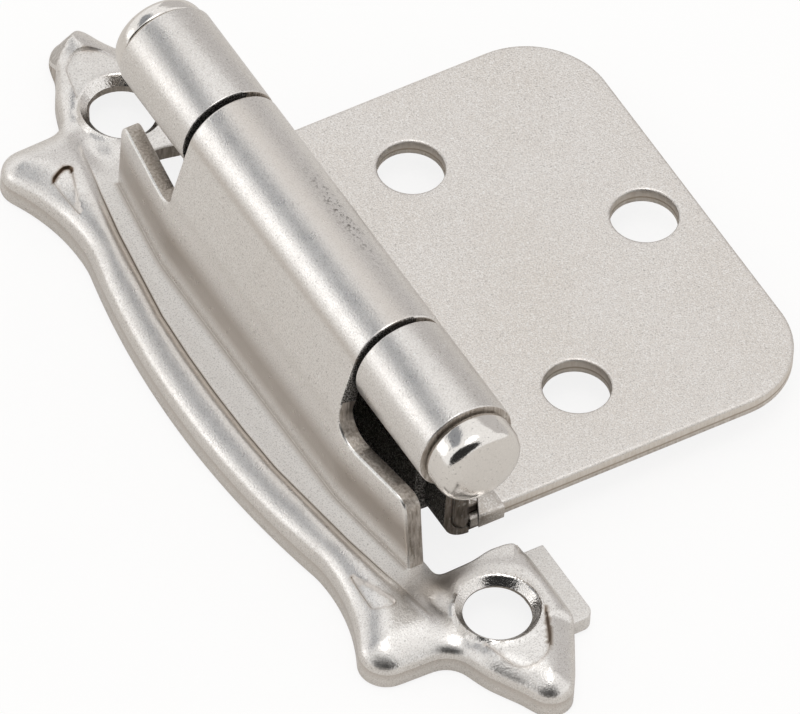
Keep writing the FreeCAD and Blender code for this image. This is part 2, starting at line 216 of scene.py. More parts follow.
def blank(outer, holes, creases, spacing, offsets):
    """Flat triangle mesh of a blank: points, faces, and each loop's numbers.
    offsets says how far in from each edge the rows of points follow it."""
    loops = [outer] + holes
    lines, constraints = loops + creases, []
    starts = [sum(map(len, lines[:n])) for n in range(len(lines))]
    for n, (first, line) in enumerate(zip(starts, lines)):
        count = len(line)
        links = count if n < len(loops) else count - 1
        constraints += [(first + i, first + (i + 1) % count) for i in range(links)]
    extra = []
    for n, loop in enumerate(loops):
        normal = inward_normals(loop) if n == 0 else -inward_normals(loop)
        for offset in offsets:
            row = loop + normal * offset
            ok = on_metal(row, outer, holes)
            for other in loops:
                ok &= nearest(row, other)[0] > 0.93 * offset
            extra.append(row[ok])
    grid = even_grid(outer.min(0), outer.max(0), spacing)
    grid = grid[on_metal(grid, outer, holes)]
    for loop in loops:
        grid = grid[nearest(grid, loop)[0] > offsets[-1] + spacing * 0.45]
    extra = np.vstack(extra + [grid])
    for crease in creases:
        extra = extra[line_gaps(extra, crease[:-1], crease[1:])[0] > spacing * 0.3]
    made = geometry.delaunay_2d_cdt(
        [Vector(p) for p in np.vstack(lines + [extra])], constraints, [], 1, 1e-5)
    verts = np.array([tuple(v) for v in made[0]])
    centres = np.array([verts[face].mean(0) for face in made[2]])
    faces = [f for f, ok in zip(made[2], on_metal(centres, outer, holes)) if ok]
    place = {old: new for new, olds in enumerate(made[3]) for old in olds}
    rims = [[place[first + i] for i in range(len(loop))]
            for first, loop in zip(starts, loops)]
    return verts, faces, rims


# %% Helpers for objects
FACE_OUT = (bpy.ops.mesh.normals_make_consistent, {"inside": False})
MERGE = (bpy.ops.mesh.remove_doubles, {"threshold": 1e-6})


def new_object(name, points, links, faces, materials):
    """A mesh object, shaded smooth, at the scene's origin."""
    mesh = bpy.data.meshes.new(name)
    mesh.from_pydata([tuple(p) for p in points], links, faces)
    mesh.validate()
    piece = bpy.data.objects.new(name, mesh)
    bpy.context.scene.collection.objects.link(piece)
    for material in materials:
        mesh.materials.append(material)
    mesh.shade_smooth()
    return piece


def only(piece):
    """Makes this piece the one that operators act on."""
    bpy.ops.object.select_all(action="DESELECT")
    piece.select_set(True)
    bpy.context.view_layer.objects.active = piece


def edit_mesh(piece, *steps):
    """Runs mesh operators, each with its settings, on all of a piece."""
    only(piece)
    bpy.ops.object.mode_set(mode="EDIT")
    bpy.ops.mesh.select_all(action="SELECT")
    for operator, settings in steps:
        operator(**settings)
    bpy.ops.object.mode_set(mode="OBJECT")


def apply(piece, kind, **settings):
    """Adds a modifier and applies it."""
    only(piece)
    modifier = piece.modifiers.new(kind, kind)
    for key, value in settings.items():
        setattr(modifier, key, value)
    bpy.ops.object.modifier_apply(modifier=modifier.name)


def ease_edges(piece, width, segments, degrees):
    """Rounds the edges that turn by more than this angle."""
    apply(piece, "BEVEL", width=width * MM, segments=segments,
          limit_method="ANGLE", angle_limit=math.radians(degrees))


def smooth(piece, degrees):
    """Shades smoothly, but not across edges that turn by more than this angle."""
    only(piece)
    bpy.ops.object.shade_smooth_by_angle(angle=math.radians(degrees))


def mark(piece, name, values):
    """Stores one number per point, for a material to read."""
    layer = piece.data.attributes.new(name, "FLOAT", "POINT")
    layer.data.foreach_set("value", np.asarray(values, np.float32))


def give_metal(piece, number, test):
    """Gives that material to the faces whose (x, y, h, normal) pass the test."""
    for face in piece.data.polygons:
        x, y, z = (v / MM for v in face.center)
        if test(x, y, z - FACE_Z / MM, face.normal):
            face.material_index = number


def shell(name, upper, lower, faces, rims, materials):
    """A closed sheet from its two faces' points (x, y, h). Each rim is a ring of
    numbers, the rows of points between the faces, and its material: one number, or
    one for each point of the ring."""
    points = [upper, lower]
    count = len(upper)
    quads, numbers = [], []
    for ring, rows, material in rims:
        ids = [list(ring)]
        for row in rows:
            first = sum(map(len, points))
            points.append(row)
            ids.append(list(range(first, first + len(row))))
        ids.append([i + count for i in ring])
        for a, b in zip(ids, ids[1:]):
            for i in range(len(ring)):
                j = (i + 1) % len(ring)
                quads.append((a[i], b[i], b[j], a[j]))
            numbers += np.broadcast_to(material, len(ring)).tolist()
    back = [tuple(i + count for i in reversed(face)) for face in faces]
    points = np.vstack(points) * MM
    points[:, 2] += FACE_Z
    piece = new_object(name, points, [], faces + back + quads, materials)
    piece.data.polygons.foreach_set("material_index", [0] * 2 * len(faces) + numbers)
    edit_mesh(piece, FACE_OUT)
    return piece


# %% [markdown]
# ## The plating
# The steel is barrel-plated with nickel: satin, warm grey, with fine dark and light
# specks and faint scratches. A brown cast in the creases is partly patina and partly
# painted shade, and some faces get painted light or painted shade. Metal takes its
# look from roughness and small bumps more than from colour. The patterns use Object
# coordinates, in metres, so they keep their real size on every piece.

# %% A small builder for nodes
class Nodes:
    """Builds the nodes of a material or a world. add and fill give back a node, and
    the methods named after kinds of nodes give back its output."""

    def __init__(self, owner):
        owner.use_nodes = True
        self.owner, self.tree = owner, owner.node_tree
        self.coords = self.add("ShaderNodeTexCoord").outputs["Object"]

    def add(self, kind, inputs=None, **settings):
        node = self.tree.nodes.new(kind)
        for key, value in settings.items():
            setattr(node, key, value)
        return self.fill(node, inputs or {})

    def fill(self, node, inputs):
        """Links a node's inputs to sockets, or sets them."""
        for key, value in inputs.items():
            socket = node.inputs[key]
            if isinstance(value, bpy.types.NodeSocket):
                self.tree.links.new(value, socket)
            elif isinstance(value, tuple) and len(socket.default_value) == 4:
                socket.default_value = (*value, 1.0)
            else:
                socket.default_value = value
        return node

    def attribute(self, name):
        return self.add("ShaderNodeAttribute", attribute_name=name).outputs["Fac"]

    def stretched(self, x, y, z):
        return self.add("ShaderNodeMapping", {
            "Vector": self.coords, "Scale": (x, y, z)}).outputs["Vector"]

    def noise(self, scale, detail, rough, vector=None):
        return self.add("ShaderNodeTexNoise", {
            "Scale": scale, "Detail": detail, "Roughness": rough,
            "Vector": vector or self.coords}).outputs["Fac"]

    def spread(self, value, low, high, to_low=0.0, to_high=1.0):
        return self.add("ShaderNodeMapRange", {
            "Value": value, "From Min": low, "From Max": high,
            "To Min": to_low, "To Max": to_high}, clamp=True).outputs["Result"]

    def mix(self, factor, a, b):
        return self.add("ShaderNodeMix", {0: factor, 6: a, 7: b},
                        data_type="RGBA").outputs[2]

    def specks(self, colour, noise, low, high, amount, tone):
        """Specks of that tone where a noise is high, at most that strong."""
        return self.mix(self.spread(self.noise(*noise), low, high, 0.0, amount),
                        colour, tone)

    def math(self, operation, a, b=0.0):
        return self.add("ShaderNodeMath", {0: a, 1: b}, operation=operation).outputs[0]

    def bump(self, height, distance, before=None):
        inputs = {"Height": height, "Distance": distance, "Strength": 1.0}
        if before:
            inputs["Normal"] = before
        return self.add("ShaderNodeBump", inputs).outputs["Normal"]

    def finish(self, colour, roughness, normal, metallic=1.0):
        self.fill(self.tree.nodes["Principled BSDF"], {
            "Metallic": metallic, "Base Color": colour, "Roughness": roughness,
            "Normal": normal})
        return self.owner


# %% Satin nickel, sheared edges and bright nickel
# Painted light: the pale tone that marked faces are lightened towards.
LIGHTENED_TONE = (0.95, 0.925, 0.895)
GLINT = (0.93, 0.92, 0.90)


def satin_nickel(name, pale, warm, rough_low, rough_high, grain):
    """Plated sheet: pale and warm are its two tones, grain its bumps' depth. It
    reads marks from 0 to 1: brown "patina_and_shade", patina with painted shade,
    paler "lightened", painted light in places, dark pits where "pitting" is,
    coarser "stipple", dull "matte" and smoother "polish"."""
    n = Nodes(bpy.data.materials.new(name))
    colour = n.mix(n.spread(n.noise(90.0, 4.0, 0.65), 0.35, 0.75), pale, warm)
    # painted light: paler where "lightened" is marked
    colour = n.mix(n.attribute("lightened"), colour, LIGHTENED_TONE)
    dust = 0.52 * min(grain, 1.0)
    for noise, low, high, amount, tone in (
            ((4600.0, 1.0, 0.4), 0.66, 0.76, 0.5, (0.34, 0.32, 0.30)),
            ((9500.0, 1.0, 0.5), 0.50, 0.66, dust, (0.48, 0.455, 0.43)),
            ((8800.0, 1.0, 0.5), 0.50, 0.66, dust, (0.95, 0.935, 0.915))):
        colour = n.specks(colour, noise, low, high, amount, tone)
    pits = n.math("MULTIPLY", n.spread(n.noise(3000.0, 2.0, 0.6), 0.53, 0.62),
                  n.attribute("pitting"))
    colour = n.mix(pits, colour, (0.16, 0.145, 0.13))
    # painted glints: sparse pale specks that stand for sparkle
    colour = n.specks(colour, (3300.0, 1.0, 0.4), 0.68, 0.78, 0.5, GLINT)
    # long scratches, in patches
    scores = n.noise(1.0, 2.0, 0.5, n.stretched(260.0, 5200.0, 5200.0))
    patches = n.spread(n.noise(210.0, 2.0, 0.5), 0.52, 0.62, 0.0, 0.35)
    scores = n.math("MULTIPLY", n.spread(scores, 0.70, 0.74), patches)
    colour = n.mix(scores, colour, GLINT)
    # patina and painted shade: first a brown film, then dark brown
    patina_and_shade = n.attribute("patina_and_shade")
    film = n.mix(0.62, pale, (0.40, 0.335, 0.275))
    colour = n.mix(n.spread(patina_and_shade, 0.0, 0.5), colour, film)
    colour = n.mix(n.spread(patina_and_shade, 0.45, 0.95), colour, (0.13, 0.09, 0.06))
    stipple, matte = n.attribute("stipple"), n.attribute("matte")
    roughness = n.spread(n.noise(900.0, 4.0, 0.7), 0.3, 0.7, rough_low, rough_high)
    for value, change in ((stipple, 0.12), (matte, 0.16),
                          (n.attribute("polish"), -0.15)):
        roughness = n.math("ADD", roughness, n.math("MULTIPLY", value, change))
    normal = n.bump(n.noise(8500.0, 1.0, 0.5), 0.000018 * grain)
    coarse = n.math("MULTIPLY", n.noise(3200.0, 2.0, 0.7), stipple)
    normal = n.bump(coarse, 0.00004, normal)
    return n.finish(colour, roughness, normal, n.spread(matte, 0.0, 1.0, 1.0, 0.35))


def sheared_edge(name, dark, pale, depth=0.00005, line=None):
    """The cut edge of the sheet: brownish, speckled, scored along the cut.
    line is the height in metres of the brown line where the metal tore."""
    n = Nodes(bpy.data.materials.new(name))
    score = n.noise(1.0, 3.0, 0.6, n.stretched(5200.0, 5200.0, 700.0))
    colour = n.mix(n.spread(score, 0.35, 0.65), dark, pale)
    colour = n.specks(colour, (2400.0, 2.0, 0.6), 0.60, 0.72, 0.5, (0.82, 0.79, 0.75))
    if line is not None:
        z = n.add("ShaderNodeSeparateXYZ", {0: n.coords}).outputs["Z"]
        off = n.math("ABSOLUTE", n.math("SUBTRACT", z, line))
        colour = n.mix(n.spread(off, 0.00003, 0.00012, 0.75, 0.0), colour,
                       (0.40, 0.32, 0.24))
    roughness = n.spread(score, 0.3, 0.7, 0.35, 0.6)
    return n.finish(colour, roughness, n.bump(score, depth))


leaf_metal = satin_nickel("leaf_satin_nickel", (0.81, 0.782, 0.750),
                          (0.765, 0.73, 0.69), 0.26, 0.34, 1.0)
wing_metal = satin_nickel("wing_satin_nickel", (0.77, 0.733, 0.695),
                          (0.73, 0.682, 0.63), 0.42, 0.50, 1.4)
barrel_metal = satin_nickel("barrel_satin_nickel", (0.765, 0.737, 0.707),
                            (0.73, 0.698, 0.66), 0.26, 0.33, 0.9)
spring_metal = satin_nickel("spring_nickel", (0.66, 0.62, 0.575),
                            (0.50, 0.45, 0.40), 0.32, 0.42, 1.2)
# Painted shade: a near-black steel for faces that stand in deep shade.
painted_shade_metal = satin_nickel("painted_shade_steel", (0.075, 0.072, 0.068),
                               (0.05, 0.047, 0.043), 0.45, 0.60, 1.2)
head_metal = satin_nickel("bright_nickel", (0.83, 0.80, 0.765),
                          (0.77, 0.735, 0.69), 0.10, 0.17, 0.3)
edge_metal = sheared_edge("sheared_edge", (0.36, 0.315, 0.27), (0.66, 0.61, 0.56))
facet_metal = sheared_edge("sheared_facet", (0.44, 0.41, 0.38), (0.70, 0.67, 0.64))
# Painted shade: a dark cut edge for edges that stand in shade.
painted_shade_edge = sheared_edge("painted_shade_cut_edge", (0.15, 0.125, 0.105), (0.36, 0.32, 0.28))
wing_edge = sheared_edge("wing_sheared_edge", (0.74, 0.68, 0.615),
                         (0.86, 0.82, 0.77), 0.00002, FACE_Z + 2.72 * MM)

# %% [markdown]
# ## The decorative leaf
# The leaf is pressed from one sheet: its rim is turned down all round, a thick
# rounded bead runs along its outer side between two curled lobes, and each end is
# a domed boss with a countersunk hole and a pointed tip. The blank's outline comes
# first, then one function says how high the pressed metal stands at each point.

# %% The leaf's outline and its countersunk holes
HOLE_Y, HOLE_R = 26.3, 2.46     # the screw holes
SINK_R, SINK = 3.03, 0.57       # their countersinks' radius and depth
BOSS_X = 4.75                   # the bosses' side, where the flanges start
leaf_half = [
    (-3.63, 11.6), (-2.38, 20.4), (-2.38, 21.35), (-1.95, 21.78, 0.45, False),
    (0.6, 21.70), (2.2, 21.35), (3.3, 21.42), (BOSS_X, 22.85, 1.4, True),
    (BOSS_X, 28.8), (4.35, 29.6),
    (3.8, 30.6), (1.75, 34.2), (-1.05, 34.05, 1.75, True), (-1.6, 32.7),
    (-2.4, 31.4), (-3.0, 30.4), (-3.4, 29.4), (-3.74, 28.37),
    (-5.6, 27.17, 2.06, False), (-8.1, 27.1), (-10.1, 24.4, 2.0, True),
    (-8.45, 16.0, 14.5, False),
]
outline = softened(loop_steps(mirrored(leaf_half, (74.0, True)), 0.2), 5)
# The upper tip was cut from its strip a little longer than the lower one.
outline[:, 1] += 0.45 * smoothstep(32.4, 34.0, outline[:, 1])
outline[:, 1] += 0.12 * smoothstep(32.8, 34.2, -outline[:, 1])
outline[:, 0] -= 0.14 * smoothstep(31.8, 33.6, outline[:, 1])
holes = [circle_steps(0, side * HOLE_Y, HOLE_R, 84) for side in (1, -1)]

# The crease at the bead's inner edge, and the foot of the folded wall.
CREASE = np.array([(0, -7.58), (4, -7.5), (8, -7.28), (12, -6.72), (16, -6.15),
                   (20, -5.4), (24.6, -4.3)])
RUN_IN, RUN_SOFT = 0.142, 0.8   # how steeply and softly the wall's ends run in


def crease_x(y):
    return np.interp(np.sqrt(y ** 2 + 0.5), CREASE[:, 0], CREASE[:, 1])


def wall_x(y):
    """The wall's outer face: straight in the middle, running in at both ends."""
    beyond = np.maximum(np.abs(y) - MID_HALF, 0)
    return WALL_X + RUN_IN * np.sqrt(beyond ** 2 + RUN_SOFT ** 2) - RUN_IN * RUN_SOFT


def from_hole(points):
    """Distance of each point from the centre of the screw hole on its side."""
    return np.hypot(points[:, 0], np.abs(points[:, 1]) - HOLE_Y)


crease_rows = []
for line_x, end, step, shifts in (
        (crease_x, 24.6, 0.25, (-0.14, -0.05, 0.0, 0.05, 0.14)),
        (wall_x, 20.2, 0.3, (-0.16, -0.08, 0.0))):
    along = np.arange(-end, end + 0.01, step)
    for shift in shifts:
        crease_rows.append(np.column_stack([line_x(along) + shift, along]))
for side in (1, -1):
    for radius in (SINK_R, SINK_R + 0.12, SINK_R + 0.3, SINK_R - 0.1):
        ring = circle_steps(0, side * HOLE_Y, radius, 96)
        crease_rows.append(np.vstack([ring, ring[:1]]))

# %% The recessed pads, the turned rim and the cut across the upper tip
# One pad lies in each lobe, and one between each hole and its tip.
LOBE_PAD = np.array([(-7.65, 18.9), (-6.2, 22.8), (-6.7, 23.0), (-7.9, 22.45)])
TIP_PAD = np.array([(3.0, 27.6), (2.7, 28.4), (1.95, 30.15), (1.3, 31.2),
                    (0.6, 31.75), (-0.2, 31.95), (-0.9, 31.75), (-1.5, 31.15),
                    (-2.0, 29.9), (-2.3, 28.7), (-2.6, 27.6)])
PAD_EDGE = 0.06                 # half the width of a pad's sloping edge
CURL, CROWN = 1.1, 3.3          # radii at the rim and over the bead
CURL_END = CURL * (1 - math.sqrt(0.5))
CROWN_END = CURL_END + CROWN * math.sqrt(0.5)
CURL_DROP = CROWN * (1 - math.sqrt(0.5)) + CURL * math.sqrt(0.5)


def pad_loop(shape, side):
    """A pad's outline on that side of the leaf; at the upper tip it is longer."""
    longer = 0.55 * smoothstep(29.0, 31.5, shape[:, 1]) * (side > 0)
    corners = np.column_stack([shape[:, 0], side * (shape[:, 1] + longer)])
    return softened(loop_steps([tuple(p) for p in corners], 0.15), 3)


def pad_gap(points, shape):
    """Distance inside a pad's edge, negative outside it."""
    gap = np.empty(len(points))
    for side in (1, -1):
        half = (points[:, 1] > 0) == (side > 0)
        loop = pad_loop(shape, side)
        far = nearest(points[half], loop)[0]
        gap[half] = np.where(inside(points[half], loop), far, -far)
    return gap


for pad in (LOBE_PAD, TIP_PAD):
    for side in (1, -1):
        loop = pad_loop(pad, side)
        for offset in (-PAD_EDGE, PAD_EDGE):
            row = loop + inward_normals(loop) * offset
            if pad is TIP_PAD:
                # an open line, from one side of the countersink to the other
                row = np.roll(row, -int(np.argmin(from_hole(row))), 0)
                row = row[from_hole(row) > SINK_R + 0.38]
            crease_rows.append(row)


def rim_drop(gap):
    """How far the turned rim lies below the top: a tight curl, then a crown."""
    curl = CURL_DROP - np.sqrt(CURL ** 2 - (CURL - np.clip(gap, 0, CURL_END)) ** 2)
    crown = CROWN - np.sqrt(
        CROWN ** 2 - np.clip(CROWN_END - np.maximum(gap, CURL_END), 0, CROWN) ** 2)
    return np.where(gap < CURL_END, curl, crown)


def facet_gap(x, y):
    """How far a point lies beyond the slanting cut across the upper tip."""
    return (x - 0.545) * -0.539 + (y - 34.15) * 0.842


# For each step of the outline: 1 where a skirt is turned down, and how wide the
# rounding of its rim is. It is narrower at the waist and beside the flanges.
ox, oy = outline[:, 0], np.abs(outline[:, 1])
cut_edge = (ox > -3.9) & (oy < 22.0)
rim_skirt = softened((~cut_edge).astype(float), 3)
waist = (ox < -6.0) & (oy > 12.5) & (oy < 19.0)
boss_side = (ox > 4.0) & (oy > 21.9) & (oy < 29.2)
rim_width = softened(np.where(waist, 0.74, 1.0), 60)
rim_width = softened(np.where(boss_side, 0.42, rim_width), 6)

# %% How high the pressed metal stands
LEAF_H, BEAD_H = 3.0, 3.45      # the tops of the leaf and of the bead
LIP_H = 3.02                    # the countersinks' edge


def pressed(points):
    """The leaf's upper face: its height, how much of a skirt hangs at its rim, and
    the marks that its metal reads."""
    x, y = points.T
    ay = np.abs(y)
    rim, step = nearest(points, outline)
    skirt, width = rim_skirt[step], rim_width[step]
    # the bead, from the outer rim to the crease
    away = crease_x(y) - x
    on_bead = (away > 0).astype(float)
    inner = np.clip(1 - away / 0.85, 0, 1) ** 2
    fade = 1 - smoothstep(22.5, 26.5, ay)
    bead = (BEAD_H - LEAF_H) * (1 - inner) * on_bead * fade
    # bosses: a raised ring at the hole, a valley beside the lobe, ridges to the tip
    r = from_hole(points)
    boss = smoothstep(21.3, 23.5, ay) * smoothstep(-4.6, -2.6, x)
    ring = 0.14 * bell(r - 3.9, 0.8)
    tipward = smoothstep(28.0, 30.4, ay)
    valley = -0.40 * bell(x + 3.6 - 0.15 * (ay - 24), 1.1)
    valley *= smoothstep(21.0, 24.0, ay) * (1 - smoothstep(26.3, 28.6, ay))
    height = LEAF_H + bead + boss * ring * (1 - 0.4 * tipward) + 0.2 * tipward + valley
    # the rim: rounded widely where it is turned down, hardly where it is cut
    height -= skirt * rim_drop(rim / width) * (0.45 + 0.55 * width)
    height -= (1 - skirt) * 0.10 * np.clip(1 - rim / 0.16, 0, 1) ** 2
    facet = np.clip(facet_gap(x, y), 0, 1) * (1 - smoothstep(0.5, 1.4, x))
    height -= 1.1 * facet * (y > 32)
    # the recessed pads
    out_ring = smoothstep(SINK_R + 0.08, SINK_R + 0.34, r)
    tip_in, lobe_in = pad_gap(points, TIP_PAD), pad_gap(points, LOBE_PAD)
    tip = smoothstep(-PAD_EDGE, PAD_EDGE, tip_in) * out_ring
    lobe = smoothstep(-PAD_EDGE, PAD_EDGE, lobe_in)
    floor_h = 2.98 - 0.04 * np.maximum(ay - 28.5, 0)
    height = height * (1 - tip) + tip * np.minimum(floor_h, height - 0.17)
    height -= 0.17 * lobe
    # the countersink
    lip = smoothstep(SINK_R, SINK_R + 0.25, r)
    height = np.where(r < SINK_R + 0.25, height * lip + LIP_H * (1 - lip), height)
    height -= SINK * np.clip((SINK_R - r) / (SINK_R - HOLE_R), 0, 1)
    # brown lines at the crease and the foot of the wall, and painted shade beside the
    # crease
    line = bell(away, 0.055) * (1 - smoothstep(19, 24.4, ay))
    height -= 0.02 * line
    shade_by_crease = 0.38 * bell(away, 1.2) + 0.25 * bell(away, 0.28)
    shade_by_crease *= on_bead * (1 - smoothstep(16.0, 22.0, ay))
    foot = 0.62 * bell(x - wall_x(y) + 0.10, 0.085) * (ay < 20.3)
    # brown lines round the pads, ragged in places, and painted shade in the hollow by
    # the lower boss
    ragged = 1.0 * ((y < 0) & (x > 1.5) & (ay < 31))
    ragged += 0.5 * ((y > 0) & (np.abs(x - 0.7) < 0.5))
    tip_line = 0.45 * bell(tip_in, 0.075) * out_ring * np.where(y > 0, 0.4, 1.4)
    tip_line += 0.75 * bell(tip_in, 0.12) * out_ring * ragged
    lobe_line = (0.42 + 0.2 * (y < 0)) * bell(lobe_in, 0.08)
    lobe_line += 1.2 * bell(lobe_in, 0.13) * (ay > 22.3) * (y > 0)
    shade_by_boss = 0.48 * bell(x + 2.7, 2.0) * bell(y + 22.6, 1.1)
    patina_and_shade = np.clip(line + shade_by_crease + foot + tip_line + lobe_line + shade_by_boss, 0, 1)
    # the strip between bead and wall, and the bosses' side, are duller than the rest
    matte = (1 - on_bead) * (1 - smoothstep(19.0, 23.0, ay))
    # Painted light: the strip is made paler, most of all beside the wall, where the
    # wall's reflected light falls; the lower pads are made paler too.
    lightened = 0.3 + 0.55 * bell(x - wall_x(y) + 0.85, 0.5)
    lightened *= (1 - on_bead) * (1 - smoothstep(17.0, 21.0, ay))
    return height, skirt, {
        "patina_and_shade": patina_and_shade,
        "stipple": np.clip(tip + 0.7 * lobe, 0, 1),
        "matte": np.maximum(matte, 0.5 * tip),
        "polish": (r < SINK_R + 0.12).astype(float),
        "lightened": np.maximum(lightened, 0.85 * np.maximum(tip, lobe) * (y < 0)),
    }


# %% Press the leaf
LEAF_SPACING = 0.27             # between the points of its mesh
LEAF_ROWS = (0.05, 0.12, 0.21, 0.33, 0.48, 0.68, 0.92, 1.2, 1.5, 1.85)
UNDER = 1.2                     # the under side lies this much lower
# The height and brownness of each row of points down the turned rim.
RIM_ROWS = ((1.38, 0.08), (1.30, 0.36), (0.6, 0.06), (0.0, 0.10))
SMOOTH_SHEET = 42               # degrees: sharper edges of a sheet stay sharp

flat, faces, rims = blank(outline, holes, crease_rows, LEAF_SPACING, LEAF_ROWS)
height, skirt, marks = pressed(flat)
upper = np.column_stack([flat, height])
# The under side lies inward of the rim's skirt.
gap, step = nearest(flat, outline)
inward = inward_normals(softened(outline, 12))
tuck = skirt * (1 - smoothstep(0.2, 2.4, gap)) * 1.15
lower = np.column_stack([flat + inward[step] * tuck[:, None], height - UNDER])
# Round the holes the metal is coined thin, most of all on the side of the wall.
tipward = np.clip(0.5 + (np.abs(flat[:, 1]) - HOLE_Y) / (2 * HOLE_R), 0, 1)
coined = LIP_H - SINK - 0.12 - 0.48 * tipward
thin = 1 - smoothstep(HOLE_R + 0.1, HOLE_R + 1.6, from_hole(flat))
lower[:, 2] += (coined - lower[:, 2]) * thin
lower[:, 2] = np.maximum(lower[:, 2], 0.0)
ring = rims[0]
lower[ring, 2] *= 1 - skirt[ring]
rows, stains = [], []
for level, stain in RIM_ROWS:
    row = upper[ring].copy()
    row[:, 2] += (np.minimum(level, row[:, 2]) - row[:, 2]) * skirt[ring]
    rows.append(row)
    stains.append(stain * skirt[ring])
# The upper tip's end is where the leaf was cut from its strip.
cut = (flat[ring, 1] > 32.6) & (np.abs(flat[ring, 0] + 0.9) < 1.7)
leaf = shell("leaf_sheet", upper, lower, faces,
             [(ring, rows, np.where(cut | (skirt[ring] < 0.5), 1, 0))]
             + [(hole, [], 1) for hole in rims[1:]],
             [leaf_metal, edge_metal, facet_metal])
stains = np.concatenate(stains)
for name, values in marks.items():
    tail = stains if name == "patina_and_shade" else 0 * stains
    mark(leaf, name, np.concatenate([values, 0 * values, tail]))
give_metal(leaf, 2, lambda x, y, h, normal: (
    normal.z > 0.2 and y > 32.0 and x < 1.0 and facet_gap(x, y) > 0.02))
smooth(leaf, SMOOTH_SHEET)

# %% The flanges beside the bosses
FLANGE_ROOT, FLANGE_X = 3.4, 6.55       # where a flange starts and ends along x
FLANGE_IN, FLANGE_OUT = 21.5, 28.8
FLANGE_R = 0.9                  # its free corner


def flange(side):
    """A flat strip one sheet thick, its free corner rounded, its edges eased."""
    plan = [(FLANGE_ROOT, FLANGE_IN), (FLANGE_X, FLANGE_IN),
            (FLANGE_X, FLANGE_OUT - FLANGE_R),
            (FLANGE_X - FLANGE_R, FLANGE_OUT, FLANGE_R, True),
            (FLANGE_ROOT, FLANGE_OUT)]
    loop = loop_steps(plan, 0.12) * (1, side)
    ring = list(range(len(loop)))
    sides = (np.column_stack([loop, np.full(len(loop), h)]) for h in (SHEET, 0.0))
    piece = shell("flange", *sides, [tuple(ring)], [(ring, [], 0)], [leaf_metal])
    mark(piece, "matte", np.full(2 * len(loop), 0.8))
    ease_edges(piece, 0.34, 5, 50)
    smooth(piece, 35)
    return piece


flanges = [flange(1), flange(-1)]

# %% [markdown]
# ## Folded and rolled sheets
# The wall, the leaning plate and the middle knuckle are the same sheet as the leaf,
# folded up and rolled. The door wing is made the same way. Both start as a flat
# blank again; each point then travels along a bending line seen from the side, and
# a second face one sheet lower gives it its thickness.

# %% Bending a blank along a side profile
ROLL = 0.22                     # how far a cut edge's outer side is rounded over


class Bend:
    """A side profile of (x, h) steps; at() gives place and outward direction."""

    def __init__(self, steps, outward_left):
        self.steps = np.asarray(steps, float)
        run = np.diff(self.steps, axis=0)
        self.lengths = np.append(0, np.cumsum(np.hypot(*run.T)))
        tangent = np.gradient(self.steps, self.lengths, axis=0)
        tangent /= np.hypot(*tangent.T)[:, None]
        sign = 1 if outward_left else -1
        self.normal = sign * np.column_stack([-tangent[:, 1], tangent[:, 0]])
        self.length = self.lengths[-1]

    def at(self, s):
        pick = [np.interp(s, self.lengths, column)
                for column in (*self.steps.T, *self.normal.T)]
        return np.column_stack(pick[:2]), np.column_stack(pick[2:])


def nothing(flat):
    return 0


def bent_sheet(name, bend, outer, holes, spacing, materials, shift=nothing,
               patina_and_shade=nothing):
    """Bends a blank drawn in (distance along the bend, y) and thickens it. shift
    moves its points along x, and patina_and_shade says how brown they are, from patina
    and painted shade."""
    flat, faces, rims = blank(outer, holes, [], spacing,
                              [ROLL * k for k in (0.15, 0.4, 0.75, 1.1)])
    gap = np.min([nearest(flat, loop)[0] for loop in [outer] + holes], axis=0)
    t = np.clip(gap / ROLL, 0, 1)
    sunk = ROLL * 0.8 * (1 - np.sqrt(1 - (1 - t) ** 2))
    place, normal = bend.at(flat[:, 0])
    sides = []
    for depth in (sunk, SHEET - 0.4 * sunk):
        spot = place - normal * depth[:, None]
        sides.append(np.column_stack([spot[:, 0] + shift(flat), flat[:, 1],
                                      spot[:, 1]]))
    piece = shell(name, *sides, faces, [(ring, [], 1) for ring in rims], materials)
    stain = np.zeros(2 * len(flat))
    stain[:len(flat)] = patina_and_shade(flat)
    mark(piece, "patina_and_shade", np.clip(stain, 0, 1))
    smooth(piece, SMOOTH_SHEET)
    return piece


def rounded_path(corners, radii, step=0.25):
    """An open line through corners, each turned with its radius."""
    corners = np.array(corners, float)
    path = [corners[0]]
    for before, here, after, radius in zip(corners, corners[1:], corners[2:], radii):
        a, b = before - here, after - here
        a, b = a / np.hypot(*a), b / np.hypot(*b)
        half = math.acos(np.clip(a @ b, -1, 1)) / 2
        cut = radius / math.tan(half)
        left = a[0] * b[1] - a[1] * b[0] < 0
        path += list(line_steps(path[-1], here + a * cut, step))
        path += list(arc_steps(here + a * cut, here + b * cut, radius, left, step))
    path += list(line_steps(path[-1], corners[-1], step))
    return np.array(path)


# %% The wall, the plate and the middle knuckle
FOLD_H = 2.6                    # the wall starts inside the leaf's own sheet
LEAN_H, LEAN_R = 11.0, 2.6      # where the plate starts to lean, and its bend
WALL_END = 20.4                 # half length of the wall
ROLLED = 322                    # degrees that the sheet is rolled round the pin

